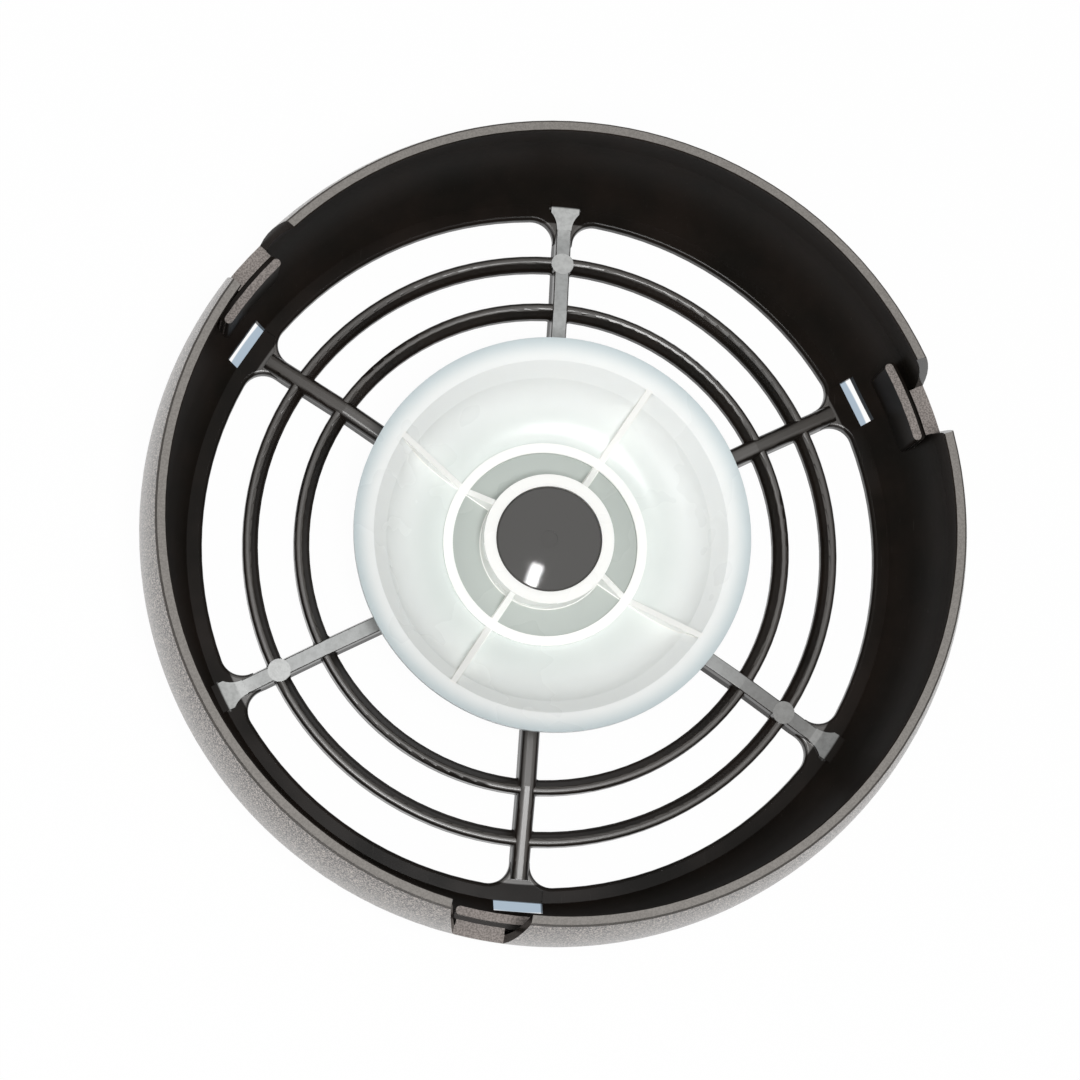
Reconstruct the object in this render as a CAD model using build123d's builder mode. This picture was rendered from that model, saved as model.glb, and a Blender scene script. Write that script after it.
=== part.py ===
from build123d import *
from math import cos, hypot, radians, sin, sqrt
import os

# Barrel wall, with its open rim up and its grille at the bottom. Millimetres and degrees.
cover_height = 52.0
wall = 2.2
rim_inner_radius = 98.5
rim_face_width = 2.25
rim_step_width = 0.55
rim_step_depth = 0.8
rim_chamfer = 0.3
bulge_out = 3.9
bulge_height = 27.5
foot_in = 6.5
front_edge_round = 1.5

# Front lip round the grille opening
lip_width = 4.0
lip_thickness = 3.0
lip_edge_round = 1.0

# Six spokes: round-topped ones that end at a window, with flat-topped ones between them
spoke_count = 6
spoke_angle = 26.1
spoke_width = 5.2
spoke_height = 5.0
spoke_lip_top = 3.1
round_spoke_top_width = 4.6
round_spoke_edge = 1.8
flat_spoke_top_width = 3.8
flat_spoke_edge = 0.3

# Flared roots where the spokes meet the lip, recessed between the windows and the round-topped ones
root_round = 5.6
root_overlap = 0.6
root_recess_length = 5.8
root_recess_depth = 0.8
root_bead_width = 1.1

# Two guard rings on the spokes
outer_ring_in = 12.3
ring_pitch = 13.1
ring_width = 4.05
ring_height = 4.2
ring_crest_width = 1.9
ring_slope_drop = 2.1
ring_round = 1.1
ring_below_spoke = 0.5
crossing_round = 1.3

# Round pads where the outer ring crosses the flat spokes, and flared pads at their roots
pad_radius = 2.95
pad_rise = 0.15
root_pad_width = 7.4
root_pad_straight = 2.2
root_pad_flare = 4.5

# Windows through the shoulder, one at the end of each round-topped spoke
window_length = 12.6
window_width = 2.9
window_out = 1.2
window_cut_height = 13.5

# Bayonet notches in the rim, with their angles measured from the round-topped spoke beside them
notch_count = 3
notch_floor_height = 27.0
notch_floor_from = -10.1
notch_floor_to = -3.1
notch_rim_from = -12.4
notch_rim_to = -1.0

# Curved arm inside each notch, parted from the notch floor by a groove
arm_inset = 1.1
arm_thickness = 2.2
arm_rise = 0.3
arm_groove_width = 1.2
arm_groove_depth = 1.1
arm_from = -9.9
arm_to = 1.2

# Hub under the bowl, hollow at the front, with a boss that passes through the bowl
hub_radius = 27.0
hub_top = 7.8
hub_plate = 2.4
hub_wall = 2.2
hub_rib = 2.0
boss_radius = 13.55
boss_top = 18.3
boss_chamfer = 0.4
gate_mark_radius = 2.2
gate_mark_depth = 0.3

# White bowl, seated on the hub
bowl_wall = 1.5
brim_radius = 50.8
brim_height = 27.5
ridge_radius = 45.5
ridge_height = 24.4
corner_radius = 41.9
corner_height = 19.2
floor_edge_radius = 27.5
collar_inner_radius = 24.0
collar_width = 2.5
collar_height = 1.3
boss_clearance = 0.15
tube_wall = 3.1
tube_top = 18.7
bowl_rib_count = 4
bowl_rib_angle = 56.5
bowl_rib_width = 1.5
gusset_drop = 1.0

# Places worked out from the sizes above
bulge_inner_radius = rim_inner_radius + bulge_out
bulge_radius = bulge_inner_radius + wall
foot_radius = rim_inner_radius - foot_in
opening_radius = foot_radius - lip_width
outer_ring_radius = opening_radius - outer_ring_in
inner_ring_radius = outer_ring_radius - ring_pitch
window_radius = foot_radius + window_out
arm_inner_radius = rim_inner_radius - arm_inset
rim_outer_radius = rim_inner_radius + rim_face_width
rim_skirt_radius = rim_outer_radius + rim_step_width
rim_step_height = cover_height - rim_step_depth
shoulder_reach = bulge_inner_radius - foot_radius
shoulder_drop = bulge_height - lip_thickness
shoulder_arc = (shoulder_drop**2 + shoulder_reach**2) / (2 * shoulder_reach)
front_radius = bulge_inner_radius - shoulder_arc + sqrt((shoulder_arc + wall) ** 2 - bulge_height**2)
hub_bottom = hub_top - spoke_height
spoke_fall = (hub_top - spoke_lip_top) / (foot_radius - inner_ring_radius)
root_start = opening_radius - root_round
recess_start = foot_radius - root_recess_length
recess_shoulder = opening_radius + root_bead_width
root_pad_corner = foot_radius - root_pad_straight
root_pad_start = root_pad_corner - root_pad_flare
window_pitch = 360 / notch_count
arm_middle_radius = arm_inner_radius + arm_thickness / 2
arm_outer_radius = arm_inner_radius + arm_thickness + arm_groove_width
arm_top = notch_floor_height + arm_rise
arm_groove_floor = notch_floor_height - arm_groove_depth
above_rim = cover_height + rim_step_depth
same_place = 0.01
tube_bore_radius = boss_radius + boss_clearance
tube_outer_radius = tube_bore_radius + tube_wall
bowl_floor_top = hub_top + bowl_wall
collar_outer_radius = collar_inner_radius + collar_width
collar_top = bowl_floor_top + collar_height


def radial_plane(angle):
    """Upright plane that holds the axis, with its x direction pointing out at an angle."""
    return Plane(
        origin=(0, 0, 0),
        x_dir=(cos(radians(angle)), sin(radians(angle)), 0),
        z_dir=(sin(radians(angle)), -cos(radians(angle)), 0),
    )


def across_plane(angle, radius):
    """Upright plane square to a radius, with x running round the cover and y up."""
    return Plane(
        origin=(radius * cos(radians(angle)), radius * sin(radians(angle)), 0),
        x_dir=(-sin(radians(angle)), cos(radians(angle)), 0),
        z_dir=(cos(radians(angle)), sin(radians(angle)), 0),
    )


def spoke_top(radius):
    """Height of a spoke's top: level as far as the inner ring, then falling to the lip."""
    return hub_top - spoke_fall * max(0, radius - inner_ring_radius)


def spoke_top_plane(angle, radius):
    """Plane that lies on the sloping top of a spoke, at a radius outside the inner ring."""
    outward = Vector(cos(radians(angle)), sin(radians(angle)), -spoke_fall)
    upward = Vector(spoke_fall * cos(radians(angle)), spoke_fall * sin(radians(angle)), 1)
    top_point = (radius * cos(radians(angle)), radius * sin(radians(angle)), spoke_top(radius))
    return Plane(origin=top_point, x_dir=outward, z_dir=upward)


def spoke_section(angle, radius, is_flat):
    """Section of a spoke at a radius: a drafted bar with two rounded upper corners."""
    top_width = flat_spoke_top_width if is_flat else round_spoke_top_width
    with BuildSketch(across_plane(angle, radius)) as section:
        with BuildLine():
            Polyline(
                (-spoke_width / 2, spoke_top(radius) - spoke_height),
                (spoke_width / 2, spoke_top(radius) - spoke_height),
                (top_width / 2, spoke_top(radius)),
                (-top_width / 2, spoke_top(radius)),
                close=True,
            )
        make_face()
        fillet(section.vertices().group_by(Axis.Y)[-1], flat_spoke_edge if is_flat else round_spoke_edge)
    return section.sketch


def arc_slot(inner_radius, width, start, end):
    """Curved slot with round ends, drawn round the axis between two angles."""
    slot_path = CenterArc((0, 0), inner_radius + width / 2, start, end - start, mode=Mode.PRIVATE)
    SlotArc(slot_path, width)


def notch_side(floor_turn, rim_turn, height):
    """Distance of a notch's sloping side from its middle line, at a height."""
    middle_turn = (notch_rim_from + notch_rim_to) / 2
    floor_reach = bulge_radius * sin(radians(floor_turn - middle_turn))
    rim_reach = rim_outer_radius * sin(radians(rim_turn - middle_turn))
    share = (height - notch_floor_height) / (cover_height - notch_floor_height)
    return floor_reach + (rim_reach - floor_reach) * share


# Everything that the cover's outside encloses, used to trim what stands on its shoulder
with BuildPart() as cover_envelope:
    with BuildSketch(Plane.XZ) as envelope_section:
        with BuildLine():
            TangentArc((bulge_radius, bulge_height), (front_radius, 0), tangent=(0, -1))
            TangentArc((bulge_radius, bulge_height), (rim_skirt_radius, rim_step_height), tangent=(0, 1))
            Polyline(
                (rim_skirt_radius, rim_step_height),
                (rim_outer_radius, rim_step_height),
                (rim_outer_radius, cover_height),
                (0, cover_height),
                (0, 0),
                (front_radius, 0),
            )
        make_face()
        fillet(envelope_section.vertices().sort_by_distance((front_radius, 0))[0], front_edge_round)
    revolve(axis=Axis.Z)

# Arms and notch floors, standing on the shoulder inside the wall
with BuildPart() as arms:
    for index in range(notch_count):
        home = spoke_angle + index * window_pitch
        with BuildSketch(Plane.XY.offset(lip_thickness)):
            arc_slot(arm_inner_radius, arm_thickness, home + arm_from, home + arm_to)
        extrude(amount=arm_top - lip_thickness)
        with BuildSketch(Plane.XY.offset(lip_thickness)):
            arc_slot(arm_middle_radius, arm_outer_radius - arm_middle_radius, home + arm_from, home + arm_to)
        extrude(amount=arm_groove_floor - lip_thickness)
        with BuildSketch(radial_plane(home + notch_floor_from)):
            with BuildLine():
                Polyline(
                    (arm_middle_radius, lip_thickness),
                    (arm_middle_radius, arm_groove_floor),
                    (arm_outer_radius, arm_groove_floor),
                    (arm_outer_radius, notch_floor_height),
                    (bulge_inner_radius + wall / 2, notch_floor_height),
                    (bulge_inner_radius + wall / 2, lip_thickness),
                    close=True,
                )
            make_face()
        revolve(axis=Axis.Z, revolution_arc=notch_floor_to - notch_floor_from)
    add(cover_envelope.part, mode=Mode.INTERSECT)

# Spokes: level from the hub to the inner ring, then sloping down to the lip
with BuildPart() as spokes:
    for index in range(spoke_count):
        angle = spoke_angle + index * 360 / spoke_count
        is_flat = index % 2 == 1
        hub_end = hub_radius - hub_wall / 2
        lip_end = foot_radius + wall / 2 if is_flat else recess_start
        slope_length = (lip_end - inner_ring_radius) * hypot(1, spoke_fall)
        outward = (cos(radians(angle)), sin(radians(angle)), -spoke_fall)
        extrude(spoke_section(angle, hub_end, is_flat), amount=inner_ring_radius - hub_end)
        extrude(spoke_section(angle, inner_ring_radius, is_flat), amount=slope_length, dir=outward)
        if is_flat:
            with BuildSketch(spoke_top_plane(angle, outer_ring_radius).offset(pad_rise)):
                Circle(pad_radius)
            extrude(amount=-ring_height)
            with BuildSketch(Plane.XY.rotated((0, 0, angle))) as root_pad:
                with BuildLine() as half_outline:
                    Line((root_pad_start, 0), (root_pad_start, flat_spoke_top_width / 2))
                    TangentArc(
                        (root_pad_start, flat_spoke_top_width / 2),
                        (root_pad_corner, root_pad_width / 2),
                        tangent=(1, 0),
                    )
                    Polyline(
                        (root_pad_corner, root_pad_width / 2),
                        (foot_radius + wall, root_pad_width / 2),
                        (foot_radius + wall, 0),
                    )
                    mirror(about=Plane.XZ)
                make_face()
            extrude(amount=spoke_top(root_pad_start))
    add(cover_envelope.part, mode=Mode.INTERSECT)

# Lip in plan, with the flared roots that reach in under the spokes
with BuildSketch() as lip_plan:
    Circle(foot_radius)
    Circle(opening_radius, mode=Mode.SUBTRACT)
    with PolarLocations(root_start - spoke_width, spoke_count, start_angle=spoke_angle):
        Rectangle(foot_radius - root_start + spoke_width, spoke_width, align=(Align.MIN, Align.CENTER))
    root_corners = [
        corner
        for corner in lip_plan.vertices()
        if abs(hypot(corner.X, corner.Y) - opening_radius) < same_place
    ]
    fillet(root_corners, root_round)
    Circle(root_start - root_overlap, mode=Mode.SUBTRACT)

with BuildPart() as front_cover:
    # Barrel wall: the outside less the cavity and the grille opening
    add(cover_envelope.part)
    with BuildSketch(Plane.XZ):
        with BuildLine():
            chamfer_start = (rim_inner_radius, cover_height - rim_chamfer)
            TangentArc((bulge_inner_radius, bulge_height), chamfer_start, tangent=(0, 1))
            TangentArc((bulge_inner_radius, bulge_height), (foot_radius, lip_thickness), tangent=(0, -1))
            Polyline(
                (foot_radius, lip_thickness),
                (0, lip_thickness),
                (0, cover_height),
                (rim_inner_radius + rim_chamfer, cover_height),
                chamfer_start,
            )
        make_face()
    revolve(axis=Axis.Z, mode=Mode.SUBTRACT)
    with BuildSketch():
        Circle(foot_radius)
        add(lip_plan.sketch, mode=Mode.SUBTRACT)
    extrude(amount=lip_thickness, mode=Mode.SUBTRACT)
    opening_edges = [
        edge
        for edge in front_cover.edges().filter_by(GeomType.CIRCLE)
        if abs(edge.center().Z - lip_thickness) < same_place
        and (abs(edge.radius - opening_radius) < same_place or abs(edge.radius - root_round) < same_place)
    ]
    fillet(opening_edges, lip_edge_round)

    # Recess from each window to the end of its spoke, which leaves a bead along the flared edge
    with BuildSketch(Plane.XY.offset(lip_thickness)):
        offset(lip_plan.sketch, amount=-root_bead_width)
        with PolarLocations(recess_shoulder, notch_count, start_angle=spoke_angle):
            Rectangle(window_radius - recess_shoulder, window_length, align=(Align.MIN, Align.CENTER))
        with PolarLocations(recess_start, notch_count, start_angle=spoke_angle):
            Rectangle(
                window_radius - recess_start,
                window_length,
                align=(Align.MIN, Align.CENTER),
                mode=Mode.INTERSECT,
            )
    extrude(amount=-root_recess_depth, mode=Mode.SUBTRACT)

    # Bayonet notches, each with a steep ramp at one end and a nearly upright face at the other
    for index in range(notch_count):
        home = spoke_angle + index * window_pitch
        with BuildSketch(across_plane(home + (notch_rim_from + notch_rim_to) / 2, 0)):
            with BuildLine():
                Polyline(
                    (notch_side(notch_floor_from, notch_rim_from, above_rim), above_rim),
                    (notch_side(notch_floor_from, notch_rim_from, notch_floor_height), notch_floor_height),
                    (notch_side(notch_floor_to, notch_rim_to, notch_floor_height), notch_floor_height),
                    (notch_side(notch_floor_to, notch_rim_to, above_rim), above_rim),
                    close=True,
                )
            make_face()
        extrude(amount=bulge_radius + wall, mode=Mode.SUBTRACT)

    add(arms.part)
    add(spokes.part)

    # Guard rings, with a flat crest at the outside and a long slope at the inside
    for radius in (inner_ring_radius, outer_ring_radius):
        crest = spoke_top(radius) - ring_below_spoke
        half = ring_width / 2
        with BuildSketch(Plane.XZ) as ring_section:
            with BuildLine():
                Polyline(
                    (radius - half, crest - ring_height),
                    (radius + half, crest - ring_height),
                    (radius + half, crest),
                    (radius + half - ring_crest_width, crest),
                    (radius - half, crest - ring_slope_drop),
                    close=True,
                )
            make_face()
            fillet(ring_section.vertices().sort_by(Axis.Y)[2:], ring_round)
        revolve(axis=Axis.Z)
        with BuildSketch(Plane.XY.offset(crest - ring_height)) as crossings:
            Circle(radius + half)
            Circle(radius - half, mode=Mode.SUBTRACT)
            with PolarLocations(radius, spoke_count, start_angle=spoke_angle):
                Rectangle(ring_width + 4 * crossing_round, flat_spoke_top_width)
            crossing_corners = [
                corner
                for corner in crossings.vertices()
                if abs(abs(hypot(corner.X, corner.Y) - radius) - half) < same_place
            ]
            fillet(crossing_corners, crossing_round)
        extrude(amount=ring_height - ring_slope_drop)

    # Hub and boss, turned as one hollow profile and stiffened by ribs in line with the spokes
    with BuildSketch(Plane.XZ):
        with BuildLine():
            Polyline(
                (0, boss_top),
                (boss_radius - boss_chamfer, boss_top),
                (boss_radius, boss_top - boss_chamfer),
                (boss_radius, hub_top),
                (hub_radius, hub_top),
                (hub_radius, hub_bottom),
                (hub_radius - hub_wall, hub_bottom),
                (hub_radius - hub_wall, hub_top - hub_plate),
                (boss_radius, hub_top - hub_plate),
                (boss_radius, hub_bottom),
                (boss_radius - hub_wall, hub_bottom),
                (boss_radius - hub_wall, boss_top - hub_plate),
                (0, boss_top - hub_plate),
                close=True,
            )
        make_face()
    revolve(axis=Axis.Z)
    with BuildSketch(Plane.XY.offset(hub_bottom)):
        with PolarLocations(boss_radius - hub_wall / 2, spoke_count, start_angle=spoke_angle):
            Rectangle(hub_radius - boss_radius, hub_rib, align=(Align.MIN, Align.CENTER))
    extrude(amount=hub_top - hub_plate / 2 - hub_bottom)
    with BuildSketch(Plane.XY.offset(boss_top)):
        Circle(gate_mark_radius)
    extrude(amount=-gate_mark_depth, mode=Mode.SUBTRACT)

    # Windows through the shoulder at the end of the round-topped spokes
    with BuildSketch(Plane.XY):
        with PolarLocations(window_radius, notch_count, start_angle=spoke_angle):
            Rectangle(window_width, window_length)
    extrude(amount=window_cut_height, mode=Mode.SUBTRACT)

front_cover.part.label = "front_cover"

# Room inside the bowl, between its floor and its brim
with BuildSketch(Plane.XZ) as bowl_room:
    with BuildLine():
        brim_slope = (brim_height - ridge_height) / (brim_radius - ridge_radius)
        room_top = brim_height + brim_slope * bowl_wall
        TangentArc((floor_edge_radius, bowl_floor_top), (corner_radius, corner_height), tangent=(1, 0))
        Polyline(
            (corner_radius, corner_height),
            (ridge_radius, ridge_height),
            (brim_radius + bowl_wall, room_top),
            (0, room_top),
            (0, bowl_floor_top),
            (floor_edge_radius, bowl_floor_top),
        )
    make_face()

with BuildPart() as bowl_envelope:
    with BuildSketch(Plane.XZ):
        offset(bowl_room.sketch_local, amount=bowl_wall, kind=Kind.INTERSECTION)
        with Locations((0, hub_top)):
            Rectangle(
                brim_radius,
                brim_height - hub_top,
                align=(Align.MIN, Align.MIN),
                mode=Mode.INTERSECT,
            )
    revolve(axis=Axis.Z)

# Ribs across the bowl, rising to the ridge outside and to the tube inside
with BuildPart() as bowl_ribs:
    for index in range(bowl_rib_count):
        with BuildSketch(radial_plane(bowl_rib_angle + index * 360 / bowl_rib_count)):
            with BuildLine():
                Polyline(
                    (tube_outer_radius - tube_wall / 2, hub_top),
                    (tube_outer_radius - tube_wall / 2, tube_top - gusset_drop),
                    (tube_outer_radius, tube_top - gusset_drop),
                    (collar_inner_radius, collar_top),
                    (collar_outer_radius, collar_top),
                    (ridge_radius, ridge_height),
                    (brim_radius, ridge_height),
                    (brim_radius, hub_top),
                    close=True,
                )
            make_face()
        extrude(amount=bowl_rib_width / 2, both=True)
    add(bowl_envelope.part, mode=Mode.INTERSECT)

with BuildPart() as hub_bowl:
    # Shell, with the collar on its floor and the tube that takes the boss
    add(bowl_envelope.part)
    add(bowl_room.sketch)
    revolve(axis=Axis.Z, mode=Mode.SUBTRACT)
    with BuildSketch(Plane.XY.offset(hub_top)):
        Circle(collar_outer_radius)
        Circle(collar_inner_radius, mode=Mode.SUBTRACT)
    extrude(amount=collar_top - hub_top)
    with BuildSketch(Plane.XY.offset(hub_top)):
        Circle(tube_outer_radius)
    extrude(amount=tube_top - hub_top)
    add(bowl_ribs.part)
    Hole(tube_bore_radius)

hub_bowl.part.label = "hub_bowl"

os.makedirs("parts", exist_ok=True)
for piece in (front_cover.part, hub_bowl.part):
    export_step(piece, "parts/" + piece.label + ".step")
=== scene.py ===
import math

import bpy
from mathutils import Matrix, Vector


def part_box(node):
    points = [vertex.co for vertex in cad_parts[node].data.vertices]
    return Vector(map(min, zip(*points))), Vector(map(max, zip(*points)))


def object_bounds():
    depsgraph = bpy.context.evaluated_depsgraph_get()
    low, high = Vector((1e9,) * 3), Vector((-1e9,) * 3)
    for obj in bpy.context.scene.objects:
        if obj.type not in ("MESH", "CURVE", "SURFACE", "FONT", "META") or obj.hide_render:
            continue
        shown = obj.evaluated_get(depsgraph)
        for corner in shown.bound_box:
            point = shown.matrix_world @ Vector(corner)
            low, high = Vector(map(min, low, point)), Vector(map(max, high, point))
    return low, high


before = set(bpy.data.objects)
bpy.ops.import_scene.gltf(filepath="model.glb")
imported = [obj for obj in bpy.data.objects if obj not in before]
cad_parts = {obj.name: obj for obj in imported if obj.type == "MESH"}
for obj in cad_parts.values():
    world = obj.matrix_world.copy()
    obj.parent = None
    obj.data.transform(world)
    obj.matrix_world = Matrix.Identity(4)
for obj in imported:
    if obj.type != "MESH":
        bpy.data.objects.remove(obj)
cad_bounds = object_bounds()

# Wall, rim, notches and windows of the dark moulding, in metres
RIM_HEIGHT = cad_bounds[1].z
RIM_STEP = RIM_HEIGHT - 0.0006
WALL_RADIUS = 0.0965
WALL_FOOT_RADII = (0.090, 0.092)
LIP_RADIUS = 0.088
NOTCH_HEIGHTS = (0.0264, 0.0276)
WINDOW_HALF = 0.0072
WINDOW_RADII = (0.0897, 0.0940)

# Spokes, guard rings, hub and boss of the dark moulding, in metres and degrees
FLAT_SPOKE_ANGLE = 86.1
ROUND_SPOKE_ANGLE = 26.1
SPOKES_OF_A_KIND = 3.0
SPOKE_TOP_RISE = (0.0075, 0.0077)
SPOKE_FALL = 0.16
GUARD_RISE = (0.0055, 0.0062)
OUTER_RING_RADIUS = 0.0757
INNER_RING_RADIUS = 0.0626
PAD_RADIUS = 0.00295
ROOT_PAD_HALF = 0.0040
ROOT_PAD_START = (0.0808, 0.0858)
ROOT_PAD_END = 0.0910
HUB_RADIUS = 0.027
BOSS_RADIUS = 0.0137
BOSS_FOOT = 0.0175

# White moulding, in metres and degrees
TUBE_RADIUS = 0.0168
COLLAR_RADIUS = 0.02525
COLLAR_HALF = 0.0012
BOWL_FLOOR = 0.0093
BOWL_CENTRE_SHADE_RADII = (0.029, 0.0415)
RIDGE_RADIUS = 0.0455
BRIM_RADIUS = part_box("hub_bowl")[1].x
RIB_ANGLE = 56.5
RIB_COUNT = 4.0
RIB_HALF = 0.0009
RIB_FADE = 0.0007

# Widths over which one finish turns into the next, in metres
FINE_EDGE = 0.0002
EDGE = 0.0003
SOFT_EDGE = 0.001

# Where a face counts as outer, inner, upper or crest, by the way that it faces
FACES_OUT = (0.15, 0.3)
FACES_IN = (-0.5, -0.2)
FACES_UP = (0.93, 0.975)
FACES_UP_AT_CREST = (0.80, 0.97)

# Colours of the dark moulding. The pale spoke, pad, rim, notch ledge and boss colours are painted reflection
# of the lamps on faces that look up; the rim colour also colours the real scuffs, and the pale texture
# colour is partly painted sheen on the textured outside
COVER_BROWN = (0.0064, 0.0054, 0.0043, 1.0)
SMEAR_BROWN = (0.0200, 0.0132, 0.0102, 1.0)
SPOKE_TOP_REFLECTION = (0.41, 0.42, 0.415, 1.0)
PAD_REFLECTION = (0.58, 0.59, 0.58, 1.0)
RIM_REFLECTION_AND_SCUFF = (0.245, 0.23, 0.214, 1.0)
LEDGE_REFLECTION = (0.30, 0.268, 0.25, 1.0)
TEXTURE_DARK = (0.012, 0.010, 0.009, 1.0)
TEXTURE_PALE_AND_SHEEN = (0.50, 0.44, 0.40, 1.0)
BOSS_REFLECTION = (0.100, 0.098, 0.095, 1.0)

# Colours of the white moulding; the darker centre colour, the moat colour and the cool brim colour are
# painted shade
BOWL_MILK = (0.91, 0.935, 0.92, 1.0)
BOWL_CENTRE_SHADE = (0.68, 0.725, 0.70, 1.0)
BOWL_CREAM = (0.94, 0.94, 0.905, 1.0)
BOWL_SHADE = (0.425, 0.462, 0.435, 1.0)
BOWL_BRIM_SHADE = (0.56, 0.64, 0.66, 1.0)

# Texture of the dark moulding: lumps in a metre, depth in metres, and how strongly each finish shows, among
# them the painted reflection on faces that look up and the painted highlight on the guards' crests
GRAIN_SCALE = 2300.0
GRAIN_DEPTH = 0.00016
GRAIN_PALE = (0.45, 0.61)
GRAIN_SPECKLE = (0.40, 0.60)
FROST_GRAIN = 0.35
MOTTLE_SCALE = 700.0
MOTTLE_PATCHES = (0.30, 0.62)
FAINTEST_REFLECTION = 0.80
FAINTEST_LEDGE_REFLECTION = 0.55
STEP_REFLECTION = 0.30
CREST_HIGHLIGHT = 0.25
ROOT_PAD_REFLECTION = 0.8
# Painted shade: the painted reflection on the spokes' tops falls to this share towards one side, over this
# reach
SIDE_SHADE_LEVEL = 0.40
SHADED_SIDE = (0.83, -0.56)
SIDE_SHADE_REACH = (0.040, 0.070)

# Handling wear: lumps in a metre, and how strongly it shows
COVER_SMEAR_SCALE = 45.0
COVER_SMEARS = 0.45
COVER_SCUFFS = 0.06
BOWL_SMEAR_SCALE = 35.0
BOWL_SMEARS = 0.12
SCUFF_SCALES = (2600.0, 120.0, 900.0)
SCUFF_TURN = 0.9

# Gloss of both mouldings, and the milky depth of the white one
COVER_SPECULAR = 0.09
SATIN_ROUGHNESS = 0.17
SMEAR_ROUGHNESS = 0.06
WALL_ROUGHNESS = 0.42
FROST_ROUGHNESS = 0.5
BOSS_POLISH = 0.90
GUARD_SHEEN = 0.9
SHEEN_ROUGHNESS = 0.32
BOWL_ROUGHNESS = 0.24
BOWL_SMEAR_ROUGHNESS = 0.08
BOWL_SOFTNESS = 0.25
BOWL_LIGHT_DEPTH = 0.003
BOWL_LIGHT_TINT = (1.0, 0.95, 0.9)
FLAT_FACE_WEIGHT = 80

# Floor, surroundings and lamps
FLOOR_GREY = (0.86, 0.86, 0.86, 1.0)
FLOOR_WHITE = (1.0, 1.0, 1.0, 1.0)
FLOOR_SHADE = (0.40, 0.49, 0.58, 1.0)
FLOOR_ROUGHNESS = 0.9
FLOOR_GLOW = 0.97
FLOOR_RADIUS = 4.0
WORLD_LIGHT = 0.22
PANEL_DISTANCE = 1.4
PART_MIDDLE = (0.0, 0.0, 0.026)
BOSS_GLINT = (-0.0042, -0.0102, 0.0183)

# Camera, in metres, degrees, and millimetres of film and lens
CAMERA_BEARING = 234.0
CAMERA_TILT = 12.0
CAMERA_DISTANCE = 0.936
CAMERA_RIGHT = -0.00654
CAMERA_UP = -0.00589
CAMERA_FILM = 36.0
CAMERA_LENS = 126.2


# Shader node helpers
def new_group(name, inputs, outputs):
    """Empty shader node group with named inputs, and with plain numbers as its outputs."""
    group = bpy.data.node_groups.new(name, "ShaderNodeTree")
    for label, kind, value in inputs:
        made = group.interface.new_socket(name=label, in_out="INPUT", socket_type=kind)
        made.default_value = value
    for label in outputs:
        group.interface.new_socket(name=label, in_out="OUTPUT", socket_type="NodeSocketFloat")
    return group, group.nodes.new("NodeGroupInput"), group.nodes.new("NodeGroupOutput")


def place_group(tree, group, **values):
    """Group node inside a material, with its own plain values."""
    node = tree.nodes.new("ShaderNodeGroup")
    node.node_tree = group
    for label, value in values.items():
        node.inputs[label.replace("_", " ")].default_value = value
    return node


def add_math(tree, operation, first, second=None):
    """Math node fed by sockets or plain numbers."""
    node = tree.nodes.new("ShaderNodeMath")
    node.operation = operation
    for slot, value in enumerate((first, second)):
        if isinstance(value, (int, float)):
            node.inputs[slot].default_value = value
        elif value is not None:
            tree.links.new(value, node.inputs[slot])
    return node.outputs[0]


def multiply(tree, product, *values):
    """Product of sockets and plain numbers."""
    for value in values:
        product = add_math(tree, "MULTIPLY", product, value)
    return product


def largest(tree, greatest, *values):
    """Greatest of some sockets and plain numbers."""
    for value in values:
        greatest = add_math(tree, "MAXIMUM", greatest, value)
    return greatest


def add_range(tree, value, low, high, to_low=0.0, to_high=1.0):
    """Smooth, clamped map of a value from one range to another."""
    node = tree.nodes.new("ShaderNodeMapRange")
    node.interpolation_type = "SMOOTHSTEP"
    for slot, number in enumerate((low, high, to_low, to_high), start=1):
        node.inputs[slot].default_value = number
    tree.links.new(value, node.inputs[0])
    return node.outputs[0]


def add_fall(tree, value, low, high):
    """Mask that falls from one to zero between two values."""
    return add_range(tree, value, low, high, 1.0, 0.0)


def add_band(tree, value, low, high, soft):
    """Mask that is one while a value lies between two others."""
    rise = add_range(tree, value, low - soft, low)
    return multiply(tree, rise, add_fall(tree, value, high, high + soft))


def add_noise(tree, place, scale, detail, roughness):
    """Noise texture whose scale counts the lumps in a metre."""
    node = tree.nodes.new("ShaderNodeTexNoise")
    node.inputs["Scale"].default_value = scale
    node.inputs["Detail"].default_value = detail
    node.inputs["Roughness"].default_value = roughness
    tree.links.new(place, node.inputs["Vector"])
    return node.outputs["Fac"]


def mix_colour(tree, share, first, second):
    """Colour mix of sockets or plain colours."""
    node = tree.nodes.new("ShaderNodeMix")
    node.data_type = "RGBA"
    tree.links.new(share, node.inputs[0])
    for slot, value in ((6, first), (7, second)):
        if isinstance(value, tuple):
            node.inputs[slot].default_value = value
        else:
            tree.links.new(value, node.inputs[slot])
    return node.outputs[2]


def lay_finishes(tree, colour, layers):
    """Lays one finish after another over a colour, each where its mask shows."""
    for mask, finish in layers:
        colour = mix_colour(tree, mask, colour, finish)
    return colour


def blend_shaders(tree, share, first, second):
    """Mix of two shaders."""
    node = tree.nodes.new("ShaderNodeMixShader")
    for slot, value in enumerate((share, first, second)):
        tree.links.new(value, node.inputs[slot])
    return node.outputs[0]


def add_bump(tree, shader, height, depth):
    """Bump from a height between zero and one, with its real depth."""
    bump = tree.nodes.new("ShaderNodeBump")
    bump.inputs["Distance"].default_value = depth
    bump.inputs["Strength"].default_value = 1.0
    tree.links.new(height, bump.inputs["Height"])
    tree.links.new(bump.outputs[0], shader.inputs["Normal"])


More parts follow.
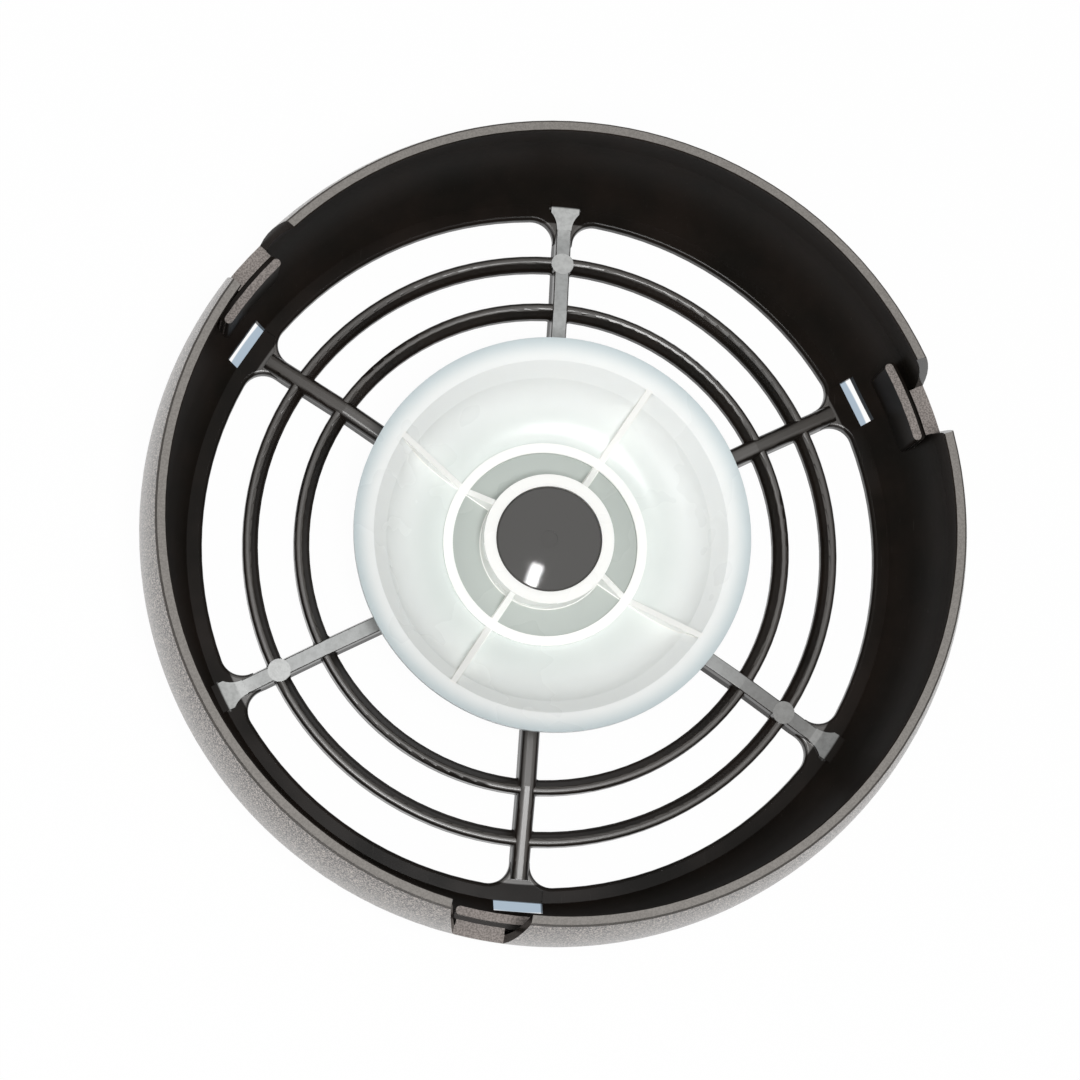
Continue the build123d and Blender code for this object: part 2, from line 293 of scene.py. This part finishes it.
def see_directly(tree):
    """One for what the camera sees, also in a reflection, and zero for the light that it gives."""
    ray = tree.nodes.new("ShaderNodeLightPath").outputs
    return largest(tree, ray["Is Camera Ray"], ray["Is Glossy Ray"], ray["Is Transmission Ray"])


def new_material(name):
    """Material with its Principled shader."""
    material = bpy.data.materials.new(name)
    material.use_nodes = True
    return material, material.node_tree, material.node_tree.nodes["Principled BSDF"]


# Shared effects
def build_turned_place():
    """Where a point lies on a turned part: its radius, height, bearing and which way it faces."""
    labels = ("Radius", "Height", "Bearing", "Faces Up", "Faces Out")
    group, _, out = new_group("TurnedPlace", [], labels)
    coords = group.nodes.new("ShaderNodeTexCoord")
    split = group.nodes.new("ShaderNodeSeparateXYZ")
    group.links.new(coords.outputs["Object"], split.inputs[0])
    x, y, z = split.outputs
    normal = group.nodes.new("ShaderNodeSeparateXYZ")
    group.links.new(coords.outputs["Normal"], normal.inputs[0])
    normal_x, normal_y, upward = normal.outputs
    square = add_math(group, "ADD", multiply(group, x, x), multiply(group, y, y))
    radius = add_math(group, "SQRT", square)
    facing = add_math(group, "ADD", multiply(group, x, normal_x), multiply(group, y, normal_y))
    outward = add_math(group, "DIVIDE", facing, largest(group, radius, 0.0001))
    bearing = add_math(group, "ARCTAN2", y, x)
    for label, value in zip(labels, (radius, z, bearing, upward, outward)):
        group.links.new(value, out.inputs[label])
    return group


def build_spoke_distance():
    """Distance from the nearest of some evenly spaced spokes, whose first has a given angle."""
    labels = {"Radius": 0.0, "Bearing": 0.0, "First Angle": 0.0, "Count": 3.0}
    inputs = [(label, "NodeSocketFloat", value) for label, value in labels.items()]
    group, given, out = new_group("SpokeDistance", inputs, ["Across"])
    first = add_math(group, "RADIANS", given.outputs["First Angle"])
    turn = add_math(group, "SUBTRACT", given.outputs["Bearing"], first)
    half_count = multiply(group, given.outputs["Count"], 0.5)
    wave = add_math(group, "ABSOLUTE", add_math(group, "SINE", multiply(group, turn, half_count)))
    across = add_math(group, "DIVIDE", multiply(group, given.outputs["Radius"], wave), half_count)
    group.links.new(across, out.inputs["Across"])
    return group


def build_wear():
    """Soft smears and fine scuffs that any moulded face picks up."""
    group, given, out = new_group(
        "HandlingWear",
        [("Place", "NodeSocketVector", (0, 0, 0)), ("Smear Scale", "NodeSocketFloat", 45.0)],
        ["Smears", "Scuffs"],
    )
    smears = add_noise(group, given.outputs["Place"], 1.0, 3.0, 0.55)
    group.links.new(given.outputs["Smear Scale"], smears.node.inputs["Scale"])
    stretched = group.nodes.new("ShaderNodeMapping")
    stretched.inputs["Rotation"].default_value = (0.0, 0.0, SCUFF_TURN)
    stretched.inputs["Scale"].default_value = SCUFF_SCALES
    group.links.new(given.outputs["Place"], stretched.inputs["Vector"])
    scuffs = add_noise(group, stretched.outputs[0], 1.0, 2.0, 0.7)
    group.links.new(add_range(group, smears, 0.3, 0.7), out.inputs["Smears"])
    group.links.new(add_range(group, scuffs, 0.66, 0.78), out.inputs["Scuffs"])
    return group


def place_wear(tree, effects, smear_scale):
    """Handling wear over a part, and the part's own coordinates."""
    coords = tree.nodes.new("ShaderNodeTexCoord").outputs["Object"]
    wear = place_group(tree, effects["wear"], Smear_Scale=smear_scale)
    tree.links.new(coords, wear.inputs["Place"])
    return wear.outputs["Smears"], wear.outputs["Scuffs"], coords


def measure_across(tree, effects, where, first_angle, count):
    """Distance from the nearest spoke of an evenly spaced set."""
    spokes = place_group(tree, effects["spokes"], First_Angle=first_angle, Count=count)
    tree.links.new(where["Radius"], spokes.inputs["Radius"])
    tree.links.new(where["Bearing"], spokes.inputs["Bearing"])
    return spokes.outputs["Across"]


# Dark moulding
def find_wall_faces(tree, where):
    """Masks of the wall's textured outside, plain inside, stepped rim and notch ledges."""
    radius, height = where["Radius"], where["Height"]
    upward = add_range(tree, where["Faces Up"], *FACES_UP)
    on_rim = add_range(tree, height, RIM_STEP - 2 * EDGE, RIM_STEP - EDGE)
    above_step = add_range(tree, height, RIM_STEP, RIM_STEP + EDGE, STEP_REFLECTION, 1.0)
    at_ledge = add_band(tree, height, *NOTCH_HEIGHTS, FINE_EDGE)
    outward = add_range(tree, where["Faces Out"], *FACES_OUT)
    inward = add_fall(tree, where["Faces Out"], *FACES_IN)
    return {
        "outside": multiply(tree, outward, add_range(tree, radius, WALL_RADIUS, WALL_RADIUS + SOFT_EDGE)),
        "inside": multiply(tree, inward, add_range(tree, radius, *WALL_FOOT_RADII)),
        "rim": multiply(tree, upward, on_rim, above_step),
        "ledge": multiply(tree, upward, at_ledge, add_range(tree, radius, WALL_RADIUS, WALL_RADIUS + EDGE)),
    }


def find_pads(tree, radius, across):
    """Mask of the round pads at the outer ring and of the pads at the spokes' roots."""
    from_ring = add_math(tree, "SUBTRACT", radius, OUTER_RING_RADIUS)
    square = add_math(tree, "ADD", multiply(tree, from_ring, from_ring), multiply(tree, across, across))
    from_pad = add_math(tree, "SQRT", square)
    at_ring = add_fall(tree, from_pad, PAD_RADIUS - FINE_EDGE, PAD_RADIUS + FINE_EDGE / 2)
    at_root = add_range(tree, radius, *ROOT_PAD_START, 0.0, ROOT_PAD_REFLECTION)
    return largest(tree, at_root, at_ring)


def find_grille_faces(tree, where, across):
    """Masks of the flat spokes' tops and pads, the guards and their crests, and the boss."""
    radius, height = where["Radius"], where["Height"]
    beyond_ring = largest(tree, add_math(tree, "SUBTRACT", radius, INNER_RING_RADIUS), 0.0)
    level = add_math(tree, "ADD", height, multiply(tree, beyond_ring, SPOKE_FALL))
    on_spoke = add_fall(tree, across, ROOT_PAD_HALF, ROOT_PAD_HALF + EDGE)
    along_spoke = add_band(tree, radius, HUB_RADIUS, ROOT_PAD_END, 2 * EDGE)
    on_top = add_range(tree, level, *SPOKE_TOP_RISE)
    upward = add_range(tree, where["Faces Up"], *FACES_UP)
    in_opening = add_band(tree, radius, HUB_RADIUS, LIP_RADIUS - SOFT_EDGE, SOFT_EDGE / 2)
    guard = multiply(tree, add_range(tree, level, *GUARD_RISE), in_opening)
    in_boss = add_fall(tree, radius, BOSS_RADIUS, BOSS_RADIUS + FINE_EDGE)
    return {
        "flat_top": multiply(tree, on_spoke, along_spoke, on_top, upward),
        "pad": find_pads(tree, radius, across),
        "guard": guard,
        "crest": multiply(tree, guard, add_range(tree, where["Faces Up"], *FACES_UP_AT_CREST)),
        "boss": multiply(tree, in_boss, add_range(tree, height, BOSS_FOOT, BOSS_FOOT + FINE_EDGE)),
    }


def patchy_reflection_with_side_shade(tree, coords):
    """Strength of the painted reflection on the spokes' tops: patchy at random, and weaker towards one side,
    which is painted shade.
    """
    split = tree.nodes.new("ShaderNodeSeparateXYZ")
    tree.links.new(coords, split.inputs[0])
    along_x, along_y = [multiply(tree, split.outputs[axis], SHADED_SIDE[axis]) for axis in (0, 1)]
    side_lit = add_range(tree, add_math(tree, "ADD", along_x, along_y), *SIDE_SHADE_REACH, 1.0, SIDE_SHADE_LEVEL)
    mottle = add_noise(tree, coords, MOTTLE_SCALE, 4.0, 0.6)
    return multiply(tree, add_range(tree, mottle, *MOTTLE_PATCHES, FAINTEST_REFLECTION, 1.0), side_lit)


def colour_cover(tree, faces, smears, scuffs, coords, grain):
    """Base colour, from the plain plastic with its smears and scuffs up to the painted highlight on the
    guards' crests, the painted reflection on the upward flat faces and the boss, and the textured outside,
    whose pale speckle is partly painted sheen.
    """
    rim_speckle = add_range(tree, grain, *GRAIN_SPECKLE, FAINTEST_REFLECTION, 1.0)
    ledge_speckle = add_range(tree, grain, *GRAIN_SPECKLE, FAINTEST_LEDGE_REFLECTION, 1.0)
    spoke_reflection = mix_colour(tree, faces["pad"], SPOKE_TOP_REFLECTION, PAD_REFLECTION)
    texture_and_sheen = mix_colour(tree, add_range(tree, grain, *GRAIN_PALE), TEXTURE_DARK, TEXTURE_PALE_AND_SHEEN)
    layers = (
        (multiply(tree, scuffs, COVER_SCUFFS), RIM_REFLECTION_AND_SCUFF),
        # painted highlight along the guards' crests
        (multiply(tree, faces["crest"], CREST_HIGHLIGHT), RIM_REFLECTION_AND_SCUFF),
        # painted reflection on the rim's top
        (multiply(tree, faces["rim"], rim_speckle), RIM_REFLECTION_AND_SCUFF),
        # painted reflection on the notch ledges
        (multiply(tree, faces["ledge"], ledge_speckle), LEDGE_REFLECTION),
        # painted reflection on the flat spokes' tops and pads
        (multiply(tree, faces["flat_top"], patchy_reflection_with_side_shade(tree, coords)), spoke_reflection),
        # textured outside: real grain, its pale speckle partly painted sheen
        (faces["outside"], texture_and_sheen),
        # painted reflection on the boss
        (faces["boss"], BOSS_REFLECTION),
    )
    plain = mix_colour(tree, multiply(tree, smears, COVER_SMEARS), COVER_BROWN, SMEAR_BROWN)
    return lay_finishes(tree, plain, layers)


def roughen_cover(tree, faces, upper_flats, smears):
    """Roughness: satin, coarser on the wall and the upper flat faces, and glossy on the boss."""
    roughness = largest(
        tree,
        add_math(tree, "ADD", multiply(tree, smears, SMEAR_ROUGHNESS), SATIN_ROUGHNESS),
        multiply(tree, faces["outside"], WALL_ROUGHNESS),
        multiply(tree, faces["inside"], WALL_ROUGHNESS),
        multiply(tree, upper_flats, FROST_ROUGHNESS),
    )
    unpolished = add_math(tree, "SUBTRACT", 1.0, multiply(tree, faces["boss"], BOSS_POLISH))
    return multiply(tree, roughness, unpolished)


def cover_plastic(effects):
    """Dark moulded plastic: satin inside, spark-textured outside with partly painted sheen, and rough flat
    upper faces with painted reflection.
    """
    material, tree, shader = new_material("cover_plastic")
    where = place_group(tree, effects["place"]).outputs
    smears, scuffs, coords = place_wear(tree, effects, COVER_SMEAR_SCALE)
    across = measure_across(tree, effects, where, FLAT_SPOKE_ANGLE, SPOKES_OF_A_KIND)
    faces = {**find_wall_faces(tree, where), **find_grille_faces(tree, where, across)}
    upper_flats = largest(tree, faces["flat_top"], faces["rim"], faces["ledge"])
    grain = add_noise(tree, coords, GRAIN_SCALE, 2.0, 0.6)

    colour = colour_cover(tree, faces, smears, scuffs, coords, grain)
    tree.links.new(colour, shader.inputs["Base Color"])
    tree.links.new(roughen_cover(tree, faces, upper_flats, smears), shader.inputs["Roughness"])
    shader.inputs["Specular IOR Level"].default_value = COVER_SPECULAR
    sheen = largest(tree, faces["outside"], multiply(tree, faces["guard"], GUARD_SHEEN))
    tree.links.new(sheen, shader.inputs["Coat Weight"])
    shader.inputs["Coat Roughness"].default_value = SHEEN_ROUGHNESS
    textured = largest(tree, faces["outside"], multiply(tree, upper_flats, FROST_GRAIN))
    add_bump(tree, shader, multiply(tree, grain, textured), GRAIN_DEPTH)
    return material


# White moulding
def find_bowl_faces(tree, where, across):
    """Masks of the thick tube, collar and ribs, the moat between them, and the thin brim."""
    radius, height = where["Radius"], where["Height"]
    off_collar = add_math(tree, "ABSOLUTE", add_math(tree, "SUBTRACT", radius, COLLAR_RADIUS))
    on_collar = add_fall(tree, off_collar, COLLAR_HALF, COLLAR_HALF + EDGE)
    above_floor = add_range(tree, height, BOWL_FLOOR + 2 * FINE_EDGE, BOWL_FLOOR + 4 * FINE_EDGE)
    on_rib = add_fall(tree, across, RIB_HALF, RIB_HALF + FINE_EDGE)
    within_ridge = add_fall(tree, radius, RIDGE_RADIUS, RIDGE_RADIUS + RIB_FADE)
    in_moat = add_band(tree, radius, TUBE_RADIUS, COLLAR_RADIUS - COLLAR_HALF, 2 * FINE_EDGE)
    on_floor = add_fall(tree, height, BOWL_FLOOR + EDGE, BOWL_FLOOR + 2 * EDGE)
    tube = add_fall(tree, radius, TUBE_RADIUS, TUBE_RADIUS + 2 * FINE_EDGE)
    collar = multiply(tree, on_collar, above_floor)
    rib = multiply(tree, on_rib, within_ridge)
    return {
        "thick": largest(tree, tube, collar, rib),
        "moat": multiply(tree, in_moat, on_floor),
        "brim": add_range(tree, radius, RIDGE_RADIUS + SOFT_EDGE / 2, BRIM_RADIUS + SOFT_EDGE / 2),
    }


def bowl_plastic(effects):
    """Milky white plastic, creamier where the moulding is thick, with painted shade darkening its centre,
    its moat and its thin brim, where the shade is a cooler grey.
    """
    material, tree, shader = new_material("bowl_plastic")
    where = place_group(tree, effects["place"]).outputs
    smears, _, _ = place_wear(tree, effects, BOWL_SMEAR_SCALE)
    across = measure_across(tree, effects, where, RIB_ANGLE, RIB_COUNT)
    faces = find_bowl_faces(tree, where, across)

    layers = (
        (multiply(tree, smears, BOWL_SMEARS), BOWL_CREAM),
        # painted shade: a cool grey on the rounded brim
        (faces["brim"], BOWL_BRIM_SHADE),
        (faces["moat"], BOWL_SHADE),
        (faces["thick"], BOWL_CREAM),
    )
    # painted shade: darker on the centre of the floor, lightening outwards between two radii
    shaded_milk = mix_colour(tree, add_range(tree, where["Radius"], *BOWL_CENTRE_SHADE_RADII), BOWL_CENTRE_SHADE, BOWL_MILK)
    tree.links.new(lay_finishes(tree, shaded_milk, layers), shader.inputs["Base Color"])
    roughness = add_math(tree, "ADD", multiply(tree, smears, BOWL_SMEAR_ROUGHNESS), BOWL_ROUGHNESS)
    tree.links.new(roughness, shader.inputs["Roughness"])
    shader.inputs["Subsurface Weight"].default_value = BOWL_SOFTNESS
    shader.inputs["Subsurface Scale"].default_value = BOWL_LIGHT_DEPTH
    shader.inputs["Subsurface Radius"].default_value = BOWL_LIGHT_TINT
    return material


# Floor, lights and camera
def shade_windows(tree, effects):
    """Mask of the floor that shows through the wall's small windows."""
    where = place_group(tree, effects["place"]).outputs
    across = measure_across(tree, effects, where, ROUND_SPOKE_ANGLE, SPOKES_OF_A_KIND)
    under_wall = add_band(tree, where["Radius"], *WINDOW_RADII, 2 * FINE_EDGE)
    return multiply(tree, under_wall, add_fall(tree, across, WINDOW_HALF, WINDOW_HALF + SOFT_EDGE))


def floor_paper(effects):
    """White floor with a faint shadow and a cool shade behind the windows, clear from below."""
    material, tree, shader = new_material("floor_paper")
    shader.inputs["Base Color"].default_value = FLOOR_GREY
    shader.inputs["Roughness"].default_value = FLOOR_ROUGHNESS
    glow = tree.nodes.new("ShaderNodeEmission")
    tint = mix_colour(tree, shade_windows(tree, effects), FLOOR_WHITE, FLOOR_SHADE)
    tree.links.new(tint, glow.inputs["Color"])
    share = multiply(tree, see_directly(tree), FLOOR_GLOW)
    paper = blend_shaders(tree, share, shader.outputs[0], glow.outputs[0])
    from_below = tree.nodes.new("ShaderNodeNewGeometry").outputs["Backfacing"]
    clear = tree.nodes.new("ShaderNodeBsdfTransparent").outputs[0]
    surface = blend_shaders(tree, from_below, paper, clear)
    tree.links.new(surface, tree.nodes["Material Output"].inputs[0])
    return material


def direction(bearing, tilt):
    """Unit vector that leans from upright by a tilt towards a bearing, in degrees."""
    lean, turn = math.radians(tilt), math.radians(bearing)
    return Vector((math.sin(lean) * math.cos(turn), math.sin(lean) * math.sin(turn), math.cos(lean)))


def add_floor(material):
    """Round sheet of paper under the part."""
    bpy.ops.mesh.primitive_circle_add(
        vertices=96, radius=FLOOR_RADIUS, fill_type="NGON", location=(0, 0, 0)
    )
    floor = bpy.context.object
    floor.name = "floor"
    floor.data.materials.append(material)


def add_panel(name, aim, bearing, tilt, roll, size, brightness):
    """Soft light panel that faces a point of the part, with the brightness of its own surface."""
    light = bpy.data.lights.new(name, "AREA")
    light.shape = "RECTANGLE"
    light.size, light.size_y = size
    light.energy = brightness * math.pi * size[0] * size[1]
    lamp = bpy.data.objects.new(name, light)
    bpy.context.scene.collection.objects.link(lamp)
    way = direction(bearing, tilt)
    long_side = Vector((math.cos(math.radians(roll)), math.sin(math.radians(roll)), 0.0))
    short_side = long_side.cross(way).normalized()
    turn = Matrix((short_side, way.cross(short_side), way)).transposed().to_4x4()
    lamp.matrix_world = Matrix.Translation(Vector(aim) + way * PANEL_DISTANCE) @ turn


def add_lamps():
    """Broad panel overhead, a faint one at the side, and a small strip that glints on the boss."""
    add_panel(
        "ceiling_panel", PART_MIDDLE, bearing=262.0, tilt=11.0, roll=90.0, size=(0.42, 0.42), brightness=28.0
    )
    add_panel(
        "side_panel", PART_MIDDLE, bearing=200.0, tilt=62.0, roll=90.0, size=(0.6, 0.6), brightness=1.8
    )
    add_panel(
        "boss_strip", BOSS_GLINT, bearing=52.7, tilt=11.48, roll=70.0, size=(0.0075, 0.018), brightness=190.0
    )


def light_world():
    """White surroundings to look at, and a dimmer grey for the light that they give."""
    world = bpy.data.worlds.new("surroundings")
    bpy.context.scene.world = world
    world.use_nodes = True
    tree = world.node_tree
    background = tree.nodes["Background"]
    strength = add_range(tree, see_directly(tree), 0.0, 1.0, WORLD_LIGHT, 1.0)
    tree.links.new(strength, background.inputs["Strength"])
    background.inputs["Color"].default_value = (1, 1, 1, 1)


def place_camera():
    """Camera at the photograph's angle: nearly along the axis, with +Y up in the picture."""
    back = direction(CAMERA_BEARING, CAMERA_TILT)
    up = (Vector((0, 1, 0)) - back * back.y).normalized()
    right = up.cross(back)
    data = bpy.data.cameras.new("camera")
    data.sensor_width = CAMERA_FILM
    data.lens = CAMERA_LENS
    data.clip_start, data.clip_end = 0.01, 20.0
    camera = bpy.data.objects.new("camera", data)
    bpy.context.scene.collection.objects.link(camera)
    aim = Vector((0, 0, RIM_HEIGHT)) + right * CAMERA_RIGHT + up * CAMERA_UP
    turn = Matrix((right, up, back)).transposed().to_4x4()
    camera.matrix_world = Matrix.Translation(aim + back * CAMERA_DISTANCE) @ turn
    bpy.context.scene.camera = camera


# Carried nodes
def dress(node, material):
    """Gives a carried node its material."""
    node.data.materials.clear()
    node.data.materials.append(material)


def flatten_faces(node):
    """Shades flat faces as flat right up to their rounded edges."""
    shading = node.modifiers.new("flat_faces", "WEIGHTED_NORMAL")
    shading.weight = FLAT_FACE_WEIGHT
    shading.keep_sharp = True


effects = {"place": build_turned_place(), "spokes": build_spoke_distance(), "wear": build_wear()}
dress(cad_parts["front_cover"], cover_plastic(effects))
dress(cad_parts["hub_bowl"], bowl_plastic(effects))
flatten_faces(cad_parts["front_cover"])
add_floor(floor_paper(effects))
light_world()
add_lamps()
place_camera()
bpy.context.scene.view_settings.view_transform = "Standard"
